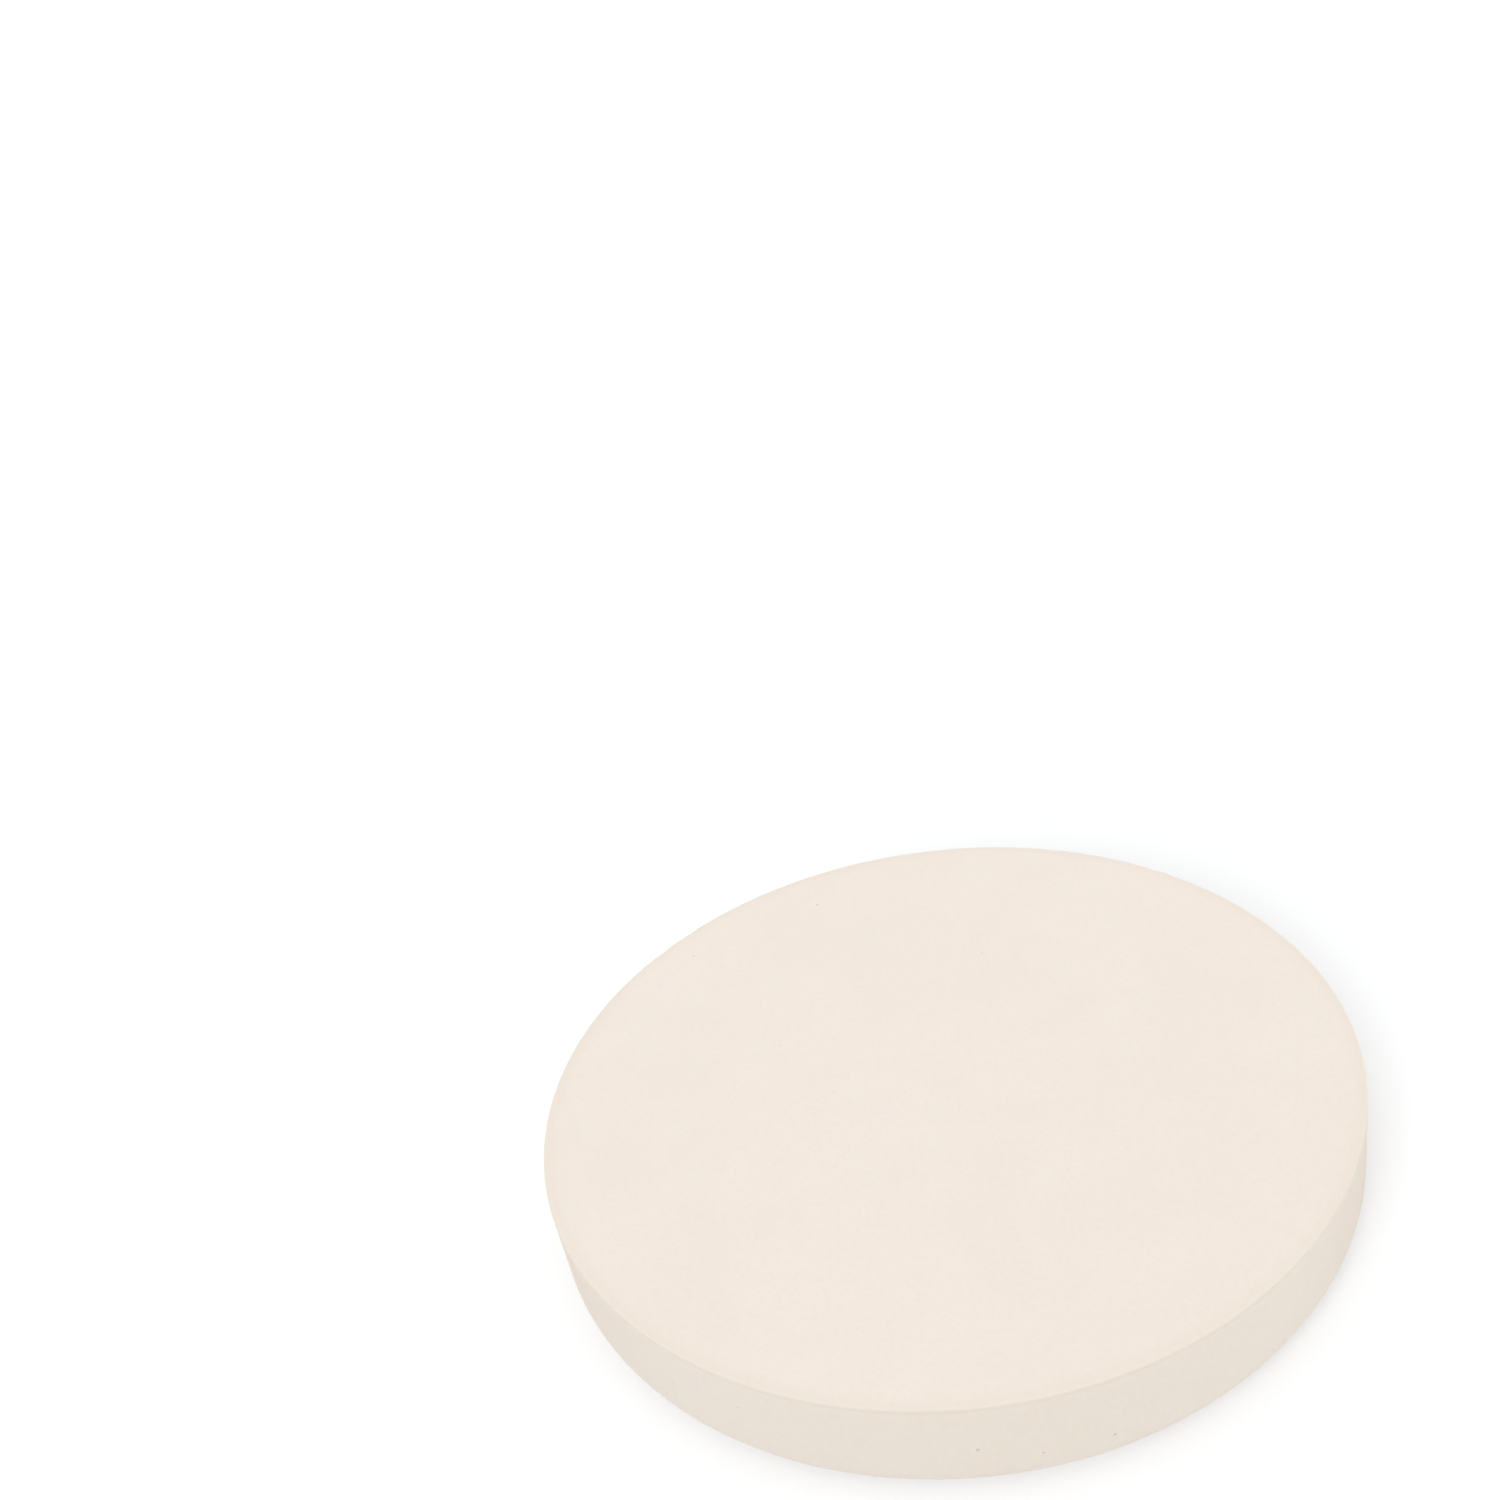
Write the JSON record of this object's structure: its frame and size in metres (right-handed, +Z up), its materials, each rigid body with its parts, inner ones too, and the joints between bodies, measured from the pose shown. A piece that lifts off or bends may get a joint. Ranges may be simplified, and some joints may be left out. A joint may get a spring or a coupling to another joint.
{
  "type": "shaving soap puck",
  "caption": "Flat round cake of hard shaving soap with a crisp rim, slightly leaning side and rounded foot, for lathering in a mug or bowl.",
  "frame": {"origin": "centre of the flat base the puck rests on", "axes": "+Z up along the puck's own axis, from the base to the lathering face; the puck is round, so X and Y are any two level directions"},
  "size_m": [0.076, 0.076, 0.011],
  "materials": {
    "soap": "satin"
  },
  "bodies": {
    "root": {"soap_puck": "soap"}
  },
  "joints": []
}
